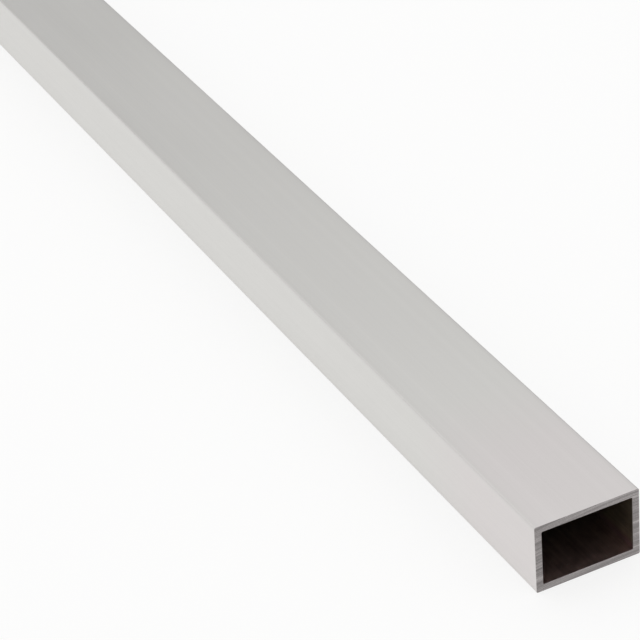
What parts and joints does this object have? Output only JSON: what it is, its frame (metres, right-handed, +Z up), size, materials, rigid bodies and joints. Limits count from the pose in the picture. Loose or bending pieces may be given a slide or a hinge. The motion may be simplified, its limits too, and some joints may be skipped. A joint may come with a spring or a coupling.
{
  "type": "rectangular aluminium tube",
  "caption": "Straight length of extruded rectangular aluminium tube, open right through and sawn square at both ends, with a satin anodised skin, for light frames, rails and trim.",
  "frame": {"origin": "middle of the tube's underside, half way along its length", "axes": "+X along the tube, +Y across its wide side, +Z up through its low height, with the tube lying on one of its wide sides"},
  "size_m": [1, 0.03, 0.02],
  "materials": {
    "anodised_aluminium": "satin, natural clear anodised, bare where the saw has cut the ends"
  },
  "bodies": {
    "root": {"rectangular_tube": "anodised_aluminium"}
  },
  "joints": []
}
